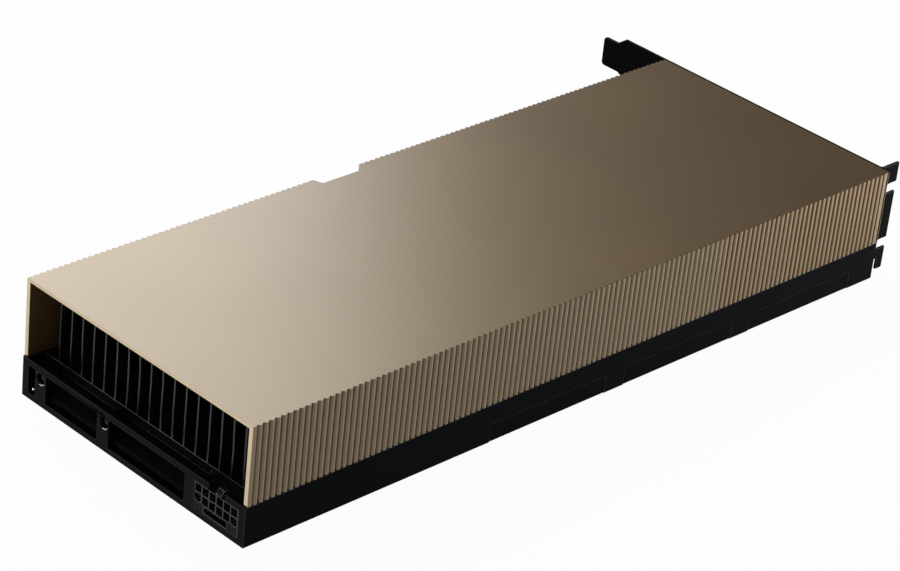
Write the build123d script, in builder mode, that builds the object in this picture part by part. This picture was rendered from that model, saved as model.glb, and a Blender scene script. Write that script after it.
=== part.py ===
from build123d import *
from math import floor
import os

# A passive accelerator card, two slots thick and full height, lying on its back sheet.
# Millimetres. +Z is up from the surface it lies on, +X points to the bracket end and +Y to the
# edge connector side. The origin is the centre of the footprint on that surface.

# Body: the black base frame and the cover on it
body_length = 267.7
body_width = 98.15
body_height = 38.47
base_height = 13.04
base_wall = 1.5
tail_plate = 1.8

# Cover: one extrusion with ribbed long walls
cover_setback = 0.5
cover_top = 1.0
cover_wall = 1.5
rib_pitch = 2.172
rib_depth = 0.55
rib_proud = 0.15
rib_groove = 0.45
rib_flank = 0.35
rib_lead = 1.54
rib_tail_end = 0.3

# Notch in the far long side that leaves room for the slot's latch
notch_from_bracket = 139.6
notch_length = 19.0
notch_depth = 3.25
notch_tail_run = 1.2
notch_bracket_run = 3.1

# Clearances
assembly_gap = 0.2
screw_gap = 0.1
socket_gap = 0.15

# Back sheet and circuit board
sheet_thickness = 1.5
boss_height = 0.8
boss_radius = 2.6
board_thickness = 1.57
board_edge_gap = 0.4
board_frame_gap = 0.1
sheet_far_inset = 2.0

# Edge connector tongue of the board, measured from the bracket end
key_from_bracket = 57.15
key_width = 1.9
key_depth = 8.0
short_side = 11.65
long_side = 71.65
tongue_reach = 13.0
tongue_bevel = 0.4
board_lap = 1.0
contact_pitch = 1.0
contact_width = 0.7
contact_length = 4.3
contact_thickness = 0.05
contact_tip_gap = 1.2
short_side_contacts = 11
long_side_contacts = 71

# Retaining hook beside the tongue
hook_gap = 1.75
hook_stem = 3.6
hook_toe = 3.0
hook_reach = 9.0
hook_toe_height = 3.4

# Heat sink
sink_front = 6.7
sink_bottom = 9.5
sink_thickness = 3.1
sink_end_gap = 0.3
standoff_radius = 2.5
clamp_standoff_radius = 2.9
fin_pitch = 5.06
fin_thickness = 0.6
first_fin = 3.95
fin_top_gap = 0.25
fin_end_gap = 6.0

# Screws through the back sheet and the board into the sink plate's posts
tail_column = 26.0
back_screw_edge = 9.0
screw_radius = 1.0
screw_head_radius = 2.0
side_head_radius = 1.5
side_screw_height = 1.5
bracket_head_radius = 1.7
screw_recess = 0.1
thread_runout = 0.3
back_screw_length = 9.0
side_screw_length = 5.0

# Processor package and what clamps the heat sink onto it
package_from_bracket = 118.0
package_side = 55.0
package_thickness = 1.6
ring_width = 4.0
ring_thickness = 0.6
die_length = 26.0
die_width = 33.0
die_thickness = 0.8
memory_length = 9.6
memory_width = 10.6
memory_gap = 0.6
memory_per_side = 3
block_side = 50.0
block_chamfer = 0.8
clamp_offset = 30.6
clamp_screw_radius = 1.25
clamp_head_radius = 2.5
clamp_head_height = 0.8
clamp_edge = 4.0
clamp_thickness = 1.5
clamp_recess = 0.3
clamp_opening_gap = 0.5
clamp_corner = 4.0
clamp_window = 10.0
clamp_window_length = 24.0
clamp_window_offset = 21.0
clamp_pad_side = 54.0
clamp_standoff_gap = 0.3
clamp_screw_length = 8.9

# Supply circuits, in a column either side of the processor
phase_count = 8
phase_pitch = 7.6
stage_offset = 44.0
stage_length = 5.0
stage_width = 6.0
stage_thickness = 0.9
stage_pad = 0.8
inductor_offset = 53.0
inductor_side = 6.6
inductor_height = 4.2

# Supply filter behind the power header, and small controllers
input_cap_length = 7.3
input_cap_width = 4.3
input_cap_height = 4.0
input_cap_x = 49.4
input_cap_pitch_x = 9.2
input_cap_pitch_y = 11.0
input_cap_columns = 2
input_cap_rows = 6
choke_side = 10.0
choke_height = 4.8
choke_x = 35.5
choke_first_y = 12.0
choke_pitch = 13.0
choke_count = 2
controller_side = 7.0
controller_height = 0.9
controller_pitch = 25.0
controller_count = 3
end_controller_gap = 12.5
end_controller_step = 20.0
end_controller_offset = 19.0

# Tail plate openings. The far window, the slot and one hole are set from the far side.
near_window_low = 25.4
near_window_high = 58.8
far_window_low = 63.9
far_window_from_far = 10.7
slot_from_far = 2.65
slot_width = 3.2
window_low_z = 1.9
window_high_z = 11.1
window_corner = 0.7
slot_corner = 0.5
mid_hole_y = 61.1
far_hole_from_far = 8.15
tail_hole_z = 9.0
tail_hole_radius = 1.75
insert_radius = 2.2
insert_bore = 1.25
insert_length = 4.0

# Power header: two rows of power cells over a row of sense contacts
header_low_y = 2.7
header_high_y = 21.6
header_low_z = 1.9
header_high_z = 10.9
header_setback = 0.1
header_depth = 12.0
cell_pitch = 3.0
cell_side = 2.6
cells_per_row = 6
cell_depth = 8.5
upper_row_z = 9.2
lower_row_z = 6.2
first_cell_y = 4.65
cell_key = 0.6
sense_z = 3.4
sense_pitch = 2.0
sense_count = 4
sense_slot_low_y = 7.5
sense_slot_high_y = 17.0
sense_slot_height = 1.9
power_pin = 1.0
sense_pin = 0.6
pin_setback = 2.5
latch_gate_low_y = 8.3
latch_gate_high_y = 15.5
latch_from_near = 12.0
latch_width = 2.4
latch_lead = 0.5
latch_length = 2.6
latch_height = 1.3
header_board_gap = 0.9
header_room_gap = 0.4
upper_pin_run = 4.8
lower_pin_run = 3.0
pin_room_gap = 0.8
sense_pin_lead = 0.1
sense_pin_run = 1.1

# Caps over the three bridge connectors in the near side, from the bracket end
bridge_from_bracket = 36.5
bridge_pitch = 56.6
bridge_count = 3
bridge_width = 48.0
bridge_height = 6.0
bridge_cap_wall = 1.4
bridge_cap_depth = 6.0
bridge_cap_setback = 0.1
bridge_jaw = 1.1

# Bracket, measured from the near side of the body
bracket_sheet = 0.86
bracket_height = 38.5
bracket_near = 3.1
bracket_far = 125.9
ear_reach = 8.9
ear_corner = 0.4
ear_notch_width = 3.5
ear_notch_depth = 5.2
ear_notch_z = 9.5
slot_spacing = 20.32
ear_relief_reach = 5.9
ear_relief_height = 4.1
bend_radius = 0.6
shoulder_y = 116.3
tongue_neck_y = 119.7
tongue_width = 10.3
tongue_centre_z = 30.8
tongue_corner = 1.3
tongue_root_radius = 2.5
vent_rows = 2
vent_columns = 17
vent_width = 3.2
vent_height = 9.4
vent_pitch_y = 5.06
vent_pitch_z = 11.4
vent_first_y = 11.5
vent_low_z = 19.4
bracket_screw_first = 15.0
bracket_screw_pitch = 23.0
bracket_screw_count = 4
bracket_screw_length = 5.6

# Where things lie
tail_x = -(body_length + ear_reach) / 2
bracket_x = tail_x + body_length
near_y = (rib_proud - bracket_far) / 2
far_y = near_y + body_width
middle_y = near_y + body_width / 2
notch_end_x = bracket_x - notch_from_bracket
notch_start_x = notch_end_x - notch_length
board_bottom = sheet_thickness + boss_height
board_top = board_bottom + board_thickness
sink_top = sink_bottom + sink_thickness
package_x = bracket_x - package_from_bracket
package_y = middle_y
package_top = board_top + package_thickness
die_top = package_top + die_thickness
bridge_centres = [bracket_x - bridge_from_bracket - i * bridge_pitch for i in range(bridge_count)]
screw_columns = [tail_x + tail_column]
screw_columns += [bridge_centres[-1] + (i - 0.5) * bridge_pitch for i in range(bridge_count + 1)]
screw_rows = (near_y + back_screw_edge, far_y - back_screw_edge)
back_screw_points = [(x, y) for x in screw_columns for y in screw_rows]
clamp_points = [(package_x + i * clamp_offset, package_y + j * clamp_offset) for i in (-1, 1) for j in (-1, 1)]
clamp_side = 2 * (clamp_offset + clamp_edge)
side_screw_z = sink_bottom + side_screw_height
side_screw_planes = [Plane(origin=(x, far_y, side_screw_z), z_dir=(0, 1, 0)) for x in screw_columns]
bracket_screw_y = [near_y + bracket_screw_first + i * bracket_screw_pitch for i in range(bracket_screw_count)]
bracket_screw_planes = [
    Plane(origin=(bracket_x + bracket_sheet, y, side_screw_z), z_dir=(1, 0, 0)) for y in bracket_screw_y
]
clamp_head_z = clamp_recess + screw_gap / 2
stage_pad_top = board_top + stage_thickness + stage_pad
phase_span = (phase_count - 1) * phase_pitch + inductor_side
input_cap_centre_x = tail_x + input_cap_x
filter_end = input_cap_centre_x + ((input_cap_columns - 1) * input_cap_pitch_x + input_cap_length) / 2
inductor_start = package_x - inductor_offset - inductor_side / 2
inductor_end = package_x + inductor_offset + inductor_side / 2
controller_x = (filter_end + inductor_start) / 2
end_controller_x = inductor_end + end_controller_gap + controller_side / 2
window_spans = (
    (near_y + near_window_low, near_y + near_window_high),
    (near_y + far_window_low, far_y - far_window_from_far),
)
slot_span = (far_y - slot_from_far - slot_width, far_y - slot_from_far)
tail_hole_y = (near_y + mid_hole_y, far_y - far_hole_from_far)
header_y = (near_y + header_low_y, near_y + header_high_y)
sense_slot_y = (near_y + sense_slot_low_y, near_y + sense_slot_high_y)
latch_y = near_y + latch_from_near
cell_y = [near_y + first_cell_y + i * cell_pitch for i in range(cells_per_row)]
sense_first_y = (sum(sense_slot_y) - (sense_count - 1) * sense_pitch) / 2
sense_y = [sense_first_y + i * sense_pitch for i in range(sense_count)]


def notched_plan(x_low, x_high, y_low, y_high, grow):
    """Plan sketch of one layer, with the latch notch grow wider and deeper all round."""
    floor_y = far_y - notch_depth - grow
    start = notch_start_x - grow
    end = notch_end_x + grow
    with BuildSketch() as plan:
        with BuildLine():
            Polyline(
                (x_low, y_low),
                (x_high, y_low),
                (x_high, y_high),
                (end, y_high),
                (end - notch_bracket_run, floor_y),
                (start + notch_tail_run, floor_y),
                (start, y_high),
                (x_low, y_high),
                close=True,
            )
        make_face()
    return plan.sketch


def span(low, high):
    """Centre and size of a stretch given by its two ends."""
    return (low + high) / 2, high - low


def ribbed_edge(x_low, x_high, face_y, outward):
    """One run of ribs inside a BuildLine: plain lead, sloped ribs between narrow grooves, plain end."""
    root_y = face_y + outward * (rib_proud - rib_depth)
    crest_y = face_y + outward * rib_proud
    count = floor((x_high - x_low - rib_lead - rib_groove - rib_tail_end) / rib_pitch)
    start = x_low + rib_lead
    end = start + count * rib_pitch
    with BuildLine() as rib:
        Polyline(
            (0, root_y),
            (rib_groove, root_y),
            (rib_groove + rib_flank, crest_y),
            (rib_pitch - rib_flank, crest_y),
            (rib_pitch, root_y),
        )
    Polyline((x_low, face_y), (start, face_y), (start, root_y))
    with Locations(*[(start + i * rib_pitch, 0) for i in range(count)]):
        add(rib.line)
    Polyline((end, root_y), (end + rib_groove, root_y), (end + rib_groove, face_y), (x_high, face_y))


def keyed_cell():
    """A power cell with its lower corners bevelled, so that the plug goes in one way up."""
    with BuildSketch() as cell:
        Rectangle(cell_side, cell_side)
        chamfer(cell.vertices().sort_by(Axis.Y)[:2], cell_key)
    return cell.sketch


def bent_pin(start, end, centre_z, foot_z, thick):
    """Side view sketch of a pin: level from start to end, then down to its foot."""
    half = thick / 2
    with BuildSketch() as pin:
        with BuildLine():
            Polyline(
                (start, centre_z - half),
                (end - thick, centre_z - half),
                (end - thick, foot_z),
                (end, foot_z),
                (end, centre_z + half),
                (start, centre_z + half),
                close=True,
            )
        make_face()
    return pin.sketch


def flat_screws(faces, head_radius, length):
    """Flat-head screws inside a BuildPart, driven into each face with the head just below it."""
    head_height = head_radius - screw_radius
    tops = [face.offset(-screw_recess) for face in faces]
    with Locations(*tops):
        Cone(screw_radius, head_radius, head_height, align=(Align.CENTER, Align.CENTER, Align.MAX))
        Cylinder(screw_radius, length, align=(Align.CENTER, Align.CENTER, Align.MAX))


# Cover. The outline is drawn once round the card, ribs and latch notch included, and the
# duct under the top plate is open at both ends.
with BuildPart() as cover:
    cover_x = tail_x + cover_setback
    notch_floor_y = far_y - notch_depth
    with BuildSketch(Plane.XY.offset(base_height)):
        with BuildLine():
            ribbed_edge(cover_x, bracket_x, near_y, -1)
            Line((bracket_x, near_y), (bracket_x, far_y))
            ribbed_edge(notch_end_x, bracket_x, far_y, 1)
            Polyline(
                (notch_end_x, far_y),
                (notch_end_x - notch_bracket_run, notch_floor_y),
                (notch_start_x + notch_tail_run, notch_floor_y),
                (notch_start_x, far_y),
            )
            ribbed_edge(cover_x, notch_start_x, far_y, 1)
            Line((cover_x, far_y), (cover_x, near_y))
        make_face()
    extrude(amount=body_height - base_height)
    with BuildSketch(Plane.XY.offset(base_height)):
        add(notched_plan(tail_x, bracket_x, near_y + cover_wall, far_y - cover_wall, cover_wall))
    extrude(amount=body_height - base_height - cover_top, mode=Mode.SUBTRACT)
cover.part.label = "cover"

# Base frame: near wall and tail plate down to the rest surface, far and end walls down to the board
with BuildPart() as base_frame:
    with BuildSketch():
        add(notched_plan(tail_x, bracket_x, near_y, far_y, 0))
    extrude(amount=base_height)
    with BuildSketch():
        inner_x = (tail_x + tail_plate, bracket_x - base_wall)
        add(notched_plan(*inner_x, near_y + base_wall, far_y - base_wall, base_wall))
    extrude(amount=base_height, mode=Mode.SUBTRACT)
    with BuildSketch():
        room_mid_x, room_length = span(tail_x + tail_plate, bracket_x)
        room_mid_y, room_width = span(near_y + base_wall, far_y)
        with Locations((room_mid_x, room_mid_y)):
            Rectangle(room_length, room_width)
    extrude(amount=board_top + board_frame_gap, mode=Mode.SUBTRACT)

    # Windows, latch slot, screw holes and header opening of the tail plate
    with BuildSketch(Plane.YZ.offset(tail_x)):
        window_mid_z, window_height = span(window_low_z, window_high_z)
        for low, high in window_spans:
            mid, width = span(low, high)
            with Locations((mid, window_mid_z)):
                RectangleRounded(width, window_height, window_corner)
        mid, width = span(*slot_span)
        with Locations((mid, window_mid_z)):
            RectangleRounded(width, window_height, slot_corner)
        with Locations(*[(y, tail_hole_z) for y in tail_hole_y]):
            Circle(tail_hole_radius)
    extrude(amount=tail_plate, mode=Mode.SUBTRACT)
    with BuildSketch(Plane.YZ.offset(tail_x)):
        mid, width = span(*header_y)
        header_mid_z, header_height = span(header_low_z, header_high_z)
        with Locations((mid, header_mid_z)):
            Rectangle(width, header_height)
        mid, width = span(near_y + latch_gate_low_y, near_y + latch_gate_high_y)
        gate_mid_z, gate_height = span(header_mid_z, base_height)
        with Locations((mid, gate_mid_z)):
            Rectangle(width, gate_height)
    extrude(amount=tail_plate, mode=Mode.SUBTRACT)

    # Recesses for the bridge connector caps in the near wall
    with BuildSketch(Plane.XZ.offset(-near_y)):
        for x in bridge_centres:
            with Locations((x, bridge_height / 2)):
                Rectangle(bridge_width, bridge_height)
    extrude(amount=-base_wall, mode=Mode.SUBTRACT)

    # Countersunk holes for the screws into the sink plate's edges, and clear holes in the end wall
    with Locations(*side_screw_planes):
        CounterSinkHole(
            screw_radius + screw_gap, side_head_radius + 2 * screw_gap, base_wall, counter_sink_angle=90
        )
    with Locations(*bracket_screw_planes):
        Hole(screw_radius + screw_gap, bracket_sheet + base_wall)
base_frame.part.label = "base_frame"

# Threaded inserts behind the two round holes of the tail plate
with BuildPart() as threaded_inserts:
    with BuildSketch(Plane.YZ.offset(tail_x + tail_plate)):
        with Locations(*[(y, tail_hole_z) for y in tail_hole_y]):
            Circle(insert_radius)
            Circle(insert_bore, mode=Mode.SUBTRACT)
    extrude(amount=insert_length)
threaded_inserts.part.label = "threaded_inserts"

# Back sheet, with pressed bosses that space the board and an opening round the retention plate
with BuildPart() as back_sheet:
    sheet_near = near_y + base_wall + assembly_gap
    sheet_tail = tail_x + tail_plate + assembly_gap
    with BuildSketch():
        sheet_far = far_y - sheet_far_inset
        add(notched_plan(sheet_tail, bracket_x - assembly_gap, sheet_near, sheet_far, assembly_gap))
        with Locations((package_x, package_y)):
            RectangleRounded(
                clamp_side + 2 * clamp_opening_gap,
                clamp_side + 2 * clamp_opening_gap,
                clamp_corner,
                mode=Mode.SUBTRACT,
            )
        cap_room_mid, cap_room = span(sheet_near, near_y + bridge_cap_depth + clamp_opening_gap)
        for x in bridge_centres:
            with Locations((x, cap_room_mid)):
                Rectangle(bridge_width + 2 * clamp_opening_gap, cap_room, mode=Mode.SUBTRACT)
    extrude(amount=sheet_thickness)
    with BuildSketch(Plane.XY.offset(sheet_thickness)):
        with Locations(*back_screw_points):
            Circle(boss_radius)
    extrude(amount=boss_height)
    with Locations(*[Plane(origin=(x, y, 0), z_dir=(0, 0, -1)) for x, y in back_screw_points]):
        CounterSinkHole(
            screw_radius + screw_gap,
            screw_head_radius + 2 * screw_gap,
            sheet_thickness + boss_height,
            counter_sink_angle=90,
        )
back_sheet.part.label = "back_sheet"

# Circuit board, with the edge connector tongue, its key slot and the retaining hook
with BuildPart() as circuit_board:
    board_near = near_y + base_wall + board_edge_gap
    board_far = far_y - assembly_gap
    tongue_tip = far_y + tongue_reach
    key_x = bracket_x - key_from_bracket
    tongue_tail = key_x - key_width / 2 - long_side
    tongue_bracket = key_x + key_width / 2 + short_side
    with BuildSketch(Plane.XY.offset(board_bottom)):
        board_x = (tail_x + tail_plate + board_edge_gap, bracket_x - board_edge_gap)
        add(notched_plan(*board_x, board_near, board_far, assembly_gap))
        tongue_mid_x, tongue_length = span(tongue_tail, tongue_bracket)
        tongue_mid_y, tongue_depth = span(board_far - board_lap, tongue_tip)
        with Locations((tongue_mid_x, tongue_mid_y)):
            Rectangle(tongue_length, tongue_depth)
        with Locations((key_x, tongue_tip)):
            SlotOverall(2 * key_depth, key_width, rotation=90, mode=Mode.SUBTRACT)
        header_room_x = tail_x + header_setback + header_depth + header_board_gap
        header_room_y = header_y[1] + header_board_gap
        room_mid_x, room_length = span(tail_x, header_room_x)
        room_mid_y, room_width = span(near_y, header_room_y)
        with Locations((room_mid_x, room_mid_y)):
            Rectangle(room_length, room_width, mode=Mode.SUBTRACT)
        hook_x = tongue_tail - hook_gap
        hook_tip = far_y + hook_reach
        with BuildLine():
            Polyline(
                (hook_x, board_far - board_lap),
                (hook_x, hook_tip),
                (hook_x - hook_stem - hook_toe, hook_tip),
                (hook_x - hook_stem - hook_toe, hook_tip - hook_toe_height),
                (hook_x - hook_stem, hook_tip - hook_toe_height),
                (hook_x - hook_stem, board_far - board_lap),
                close=True,
            )
        make_face()
        with Locations(*back_screw_points):
            Circle(screw_radius + screw_gap, mode=Mode.SUBTRACT)
        with Locations(*clamp_points):
            Circle(clamp_screw_radius + screw_gap, mode=Mode.SUBTRACT)
    extrude(amount=board_thickness)
    tip_edges = circuit_board.edges().filter_by(Axis.X).group_by(Axis.Y)[-1]
    chamfer(tip_edges, tongue_bevel)
circuit_board.part.label = "circuit_board"

# Contact pads on both faces of the tongue, either side of the key slot
with BuildPart() as edge_contacts:
    short_first = key_x + key_width / 2 + (short_side - (short_side_contacts - 1) * contact_pitch) / 2
    long_first = key_x - key_width / 2 - (long_side - (long_side_contacts - 1) * contact_pitch) / 2
    contact_x = [short_first + i * contact_pitch for i in range(short_side_contacts)]
    contact_x += [long_first - i * contact_pitch for i in range(long_side_contacts)]
    contact_y = tongue_tip - contact_tip_gap - contact_length / 2
    with BuildSketch(Plane.XY.offset(board_top), Plane.XY.offset(board_bottom - contact_thickness)):
        with Locations(*[(x, contact_y) for x in contact_x]):
            Rectangle(contact_width, contact_length)
    extrude(amount=contact_thickness)
edge_contacts.part.label = "edge_contacts"

# Sink plate, with bars over the power stages and room above the power header and its pins
with BuildPart() as sink_plate:
    sink_tail = tail_x + sink_front
    sink_bracket = bracket_x - base_wall - sink_end_gap
    header_back = tail_x + header_setback + header_depth
    with BuildSketch(Plane.XY.offset(sink_bottom)):
        wall_room = base_wall + assembly_gap
        add(notched_plan(sink_tail, sink_bracket, near_y + wall_room, far_y - wall_room, wall_room))
    extrude(amount=sink_thickness)
    with BuildSketch(Plane.XY.offset(sink_bottom)):
        room_mid_x, room_length = span(sink_tail, header_back + upper_pin_run + pin_room_gap)
        room_mid_y, room_width = span(near_y, header_y[1] + header_room_gap)
        with Locations((room_mid_x, room_mid_y)):
            Rectangle(room_length, room_width)
    extrude(amount=header_high_z + header_room_gap - sink_bottom, mode=Mode.SUBTRACT)
    with BuildSketch(Plane.XY.offset(stage_pad_top)):
        for side in (-1, 1):
            with Locations((package_x + side * stage_offset, package_y)):
                Rectangle(stage_length, phase_span)
    extrude(amount=sink_bottom - stage_pad_top)
    with Locations(*side_screw_planes):
        Hole(screw_radius + screw_gap, side_screw_length + thread_runout)
    with Locations(*bracket_screw_planes):
        Hole(screw_radius + screw_gap, bracket_screw_length + thread_runout)
sink_plate.part.label = "sink_plate"

# Six-sided standoffs under the sink plate: one set the board is screwed to, one that the clamp pulls on
with BuildPart() as board_standoffs:
    with BuildSketch(Plane.XY.offset(board_top)):
        with Locations(*back_screw_points):
            RegularPolygon(standoff_radius, 6)
            Circle(screw_radius + screw_gap, mode=Mode.SUBTRACT)
    extrude(amount=sink_bottom - board_top)
board_standoffs.part.label = "board_standoffs"

with BuildPart() as clamp_standoffs:
    with BuildSketch(Plane.XY.offset(board_top + clamp_standoff_gap)):
        with Locations(*clamp_points):
            RegularPolygon(clamp_standoff_radius, 6)
            Circle(clamp_screw_radius + screw_gap, mode=Mode.SUBTRACT)
    extrude(amount=sink_bottom - board_top - clamp_standoff_gap)
clamp_standoffs.part.label = "clamp_standoffs"

# Fins, each its own sheet, standing on the sink plate along the duct
with BuildPart() as fin_stack:
    fin_mid_x, fin_length = span(tail_x + sink_front, bracket_x - fin_end_gap)
    fin_height = body_height - cover_top - fin_top_gap - sink_top
    first_fin_y = near_y + first_fin
    last_fin_room = far_y - notch_depth - cover_wall - assembly_gap - fin_thickness / 2
    fin_count = floor((last_fin_room - first_fin_y) / fin_pitch) + 1
    with BuildSketch(Plane.XY.offset(sink_top)):
        with Locations(*[(fin_mid_x, first_fin_y + i * fin_pitch) for i in range(fin_count)]):
            Rectangle(fin_length, fin_thickness)
    extrude(amount=fin_height)
fin_stack.part.label = "fin_stack"

# Processor package: substrate, stiffening ring, processor die and memory stacks
with BuildPart() as package_substrate:
    with BuildSketch(Plane.XY.offset(board_top)):
        with Locations((package_x, package_y)):
            Rectangle(package_side, package_side)
    extrude(amount=package_thickness)
package_substrate.part.label = "package_substrate"

with BuildPart() as package_ring:
    with BuildSketch(Plane.XY.offset(package_top)):
        with Locations((package_x, package_y)):
            Rectangle(package_side, package_side)
            Rectangle(package_side - 2 * ring_width, package_side - 2 * ring_width, mode=Mode.SUBTRACT)
    extrude(amount=ring_thickness)
package_ring.part.label = "package_ring"

with BuildPart() as processor_die:
    with BuildSketch(Plane.XY.offset(package_top)):
        with Locations((package_x, package_y)):
            Rectangle(die_length, die_width)
    extrude(amount=die_thickness)
processor_die.part.label = "processor_die"

with BuildPart() as memory_stacks:
    memory_offset = die_length / 2 + memory_gap + memory_length / 2
    with BuildSketch(Plane.XY.offset(package_top)):
        for side in (-1, 1):
            with Locations((package_x + side * memory_offset, package_y)):
                with GridLocations(0, memory_width + memory_gap, 1, memory_per_side):
                    Rectangle(memory_length, memory_width)
    extrude(amount=die_thickness)
memory_stacks.part.label = "memory_stacks"

# Block that carries heat from the processor and memory up to the sink plate
with BuildPart() as contact_block:
    with BuildSketch(Plane.XY.offset(die_top)):
        with Locations((package_x, package_y)):
            Rectangle(block_side, block_side)
    extrude(amount=sink_bottom - die_top)
    chamfer(contact_block.faces().sort_by(Axis.Z)[0].edges(), block_chamfer)
contact_block.part.label = "contact_block"

# Supply circuits: a column of power stages and one of inductors either side of the processor
with BuildPart() as power_stages:
    with BuildSketch(Plane.XY.offset(board_top)):
        for side in (-1, 1):
            with Locations((package_x + side * stage_offset, package_y)):
                with GridLocations(0, phase_pitch, 1, phase_count):
                    Rectangle(stage_length, stage_width)
    extrude(amount=stage_thickness)
power_stages.part.label = "power_stages"

with BuildPart() as inductors:
    with BuildSketch(Plane.XY.offset(board_top)):
        for side in (-1, 1):
            with Locations((package_x + side * inductor_offset, package_y)):
                with GridLocations(0, phase_pitch, 1, phase_count):
                    Rectangle(inductor_side, inductor_side)
    extrude(amount=inductor_height)
inductors.part.label = "inductors"

# Soft pads between these circuits and the sink plate
with BuildPart() as power_pads:
    for offset, low, high, width in (
        (stage_offset, board_top + stage_thickness, stage_pad_top, stage_length),
        (inductor_offset, board_top + inductor_height, sink_bottom, inductor_side),
    ):
        with BuildSketch(Plane.XY.offset(low)):
            for side in (-1, 1):
                with Locations((package_x + side * offset, package_y)):
                    Rectangle(width, phase_span)
        extrude(amount=high - low)
power_pads.part.label = "power_pads"

# Supply filter behind the header, and the controllers
with BuildPart() as input_capacitors:
    with BuildSketch(Plane.XY.offset(board_top)):
        with Locations((input_cap_centre_x, middle_y)):
            with GridLocations(input_cap_pitch_x, input_cap_pitch_y, input_cap_columns, input_cap_rows):
                Rectangle(input_cap_length, input_cap_width)
    extrude(amount=input_cap_height)
input_capacitors.part.label = "input_capacitors"

with BuildPart() as input_chokes:
    with BuildSketch(Plane.XY.offset(board_top)):
        with Locations(
            *[(tail_x + choke_x, near_y + choke_first_y + i * choke_pitch) for i in range(choke_count)]
        ):
            Rectangle(choke_side, choke_side)
    extrude(amount=choke_height)
input_chokes.part.label = "input_chokes"

with BuildPart() as controller_chips:
    with BuildSketch(Plane.XY.offset(board_top)):
        with Locations((controller_x, middle_y)):
            with GridLocations(0, controller_pitch, 1, controller_count):
                Rectangle(controller_side, controller_side)
        with Locations(
            (end_controller_x, middle_y - end_controller_offset),
            (end_controller_x, middle_y + end_controller_offset),
            (end_controller_x + end_controller_step, middle_y),
        ):
            Rectangle(controller_side, controller_side)
    extrude(amount=controller_height)
controller_chips.part.label = "controller_chips"

# Power header housing: two rows of cells over the sense slot, with a ramp for the plug's latch
with BuildPart() as power_header:
    header_front = tail_x + header_setback
    header_mid_y, header_width = span(header_y[0] + socket_gap, header_y[1] - socket_gap)
    header_mid_z, header_height = span(header_low_z + socket_gap, header_high_z - socket_gap)
    header_top = header_high_z - socket_gap
    with BuildSketch(Plane.YZ.offset(header_front)):
        with Locations((header_mid_y, header_mid_z)):
            Rectangle(header_width, header_height)
    extrude(amount=header_depth)
    with BuildSketch(Plane.XZ.offset(-(latch_y + latch_width / 2))):
        with BuildLine():
            Polyline(
                (header_front + latch_lead, header_top),
                (header_front + latch_lead + latch_length, header_top),
                (header_front + latch_lead + latch_length, header_top + latch_height),
                (header_front + latch_lead + latch_length / 2, header_top + latch_height),
                close=True,
            )
        make_face()
    extrude(amount=latch_width)
    with BuildSketch(Plane.YZ.offset(header_front)):
        with Locations(*[(y, z) for y in cell_y for z in (upper_row_z, lower_row_z)]):
            Rectangle(cell_side, cell_side)
        keyed = [(y, lower_row_z) for y in (cell_y[0], cell_y[-1])]
        with Locations(*keyed):
            Rectangle(cell_side, cell_side, mode=Mode.SUBTRACT)
        with Locations(*keyed):
            add(keyed_cell())
    extrude(amount=cell_depth, mode=Mode.SUBTRACT)
    with BuildSketch(Plane.YZ.offset(header_front)):
        sense_mid_y, sense_width = span(*sense_slot_y)
        with Locations((sense_mid_y, sense_z)):
            Rectangle(sense_width, sense_slot_height)
    extrude(amount=cell_depth, mode=Mode.SUBTRACT)
    with BuildSketch(Plane.YZ.offset(header_front + cell_depth)):
        with Locations(*[(y, z) for y in cell_y for z in (upper_row_z, lower_row_z)]):
            Rectangle(power_pin, power_pin)
        with Locations(*[(y, sense_z) for y in sense_y]):
            Rectangle(sense_pin, sense_pin)
    extrude(amount=header_depth - cell_depth, mode=Mode.SUBTRACT)
power_header.part.label = "power_header"

# Header pins: straight through the housing, then bent down onto the board
with BuildPart() as power_pins:
    for z, run in ((upper_row_z, upper_pin_run), (lower_row_z, lower_pin_run)):
        tail_end = header_front + header_depth + run
        for y in cell_y:
            with BuildSketch(Plane.XZ.offset(-(y + power_pin / 2))):
                add(bent_pin(header_front + pin_setback, tail_end, z, board_top, power_pin))
            extrude(amount=power_pin)
power_pins.part.label = "power_pins"

with BuildPart() as sense_pins:
    for y in sense_y:
        with BuildSketch(Plane.XZ.offset(-(y + sense_pin / 2))):
            pin_start = header_front + pin_setback
            pin_rise = header_front + header_depth + sense_pin_lead
            with BuildLine():
                Polyline(
                    (pin_start, sense_z - sense_pin / 2),
                    (pin_rise + sense_pin, sense_z - sense_pin / 2),
                    (pin_rise + sense_pin, board_top),
                    (pin_rise + sense_pin + sense_pin_run, board_top),
                    (pin_rise + sense_pin + sense_pin_run, board_top + sense_pin),
                    (pin_rise, board_top + sense_pin),
                    (pin_rise, sense_z + sense_pin / 2),
                    (pin_start, sense_z + sense_pin / 2),
                    close=True,
                )
            make_face()
        extrude(amount=sense_pin)
sense_pins.part.label = "sense_pins"

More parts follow.
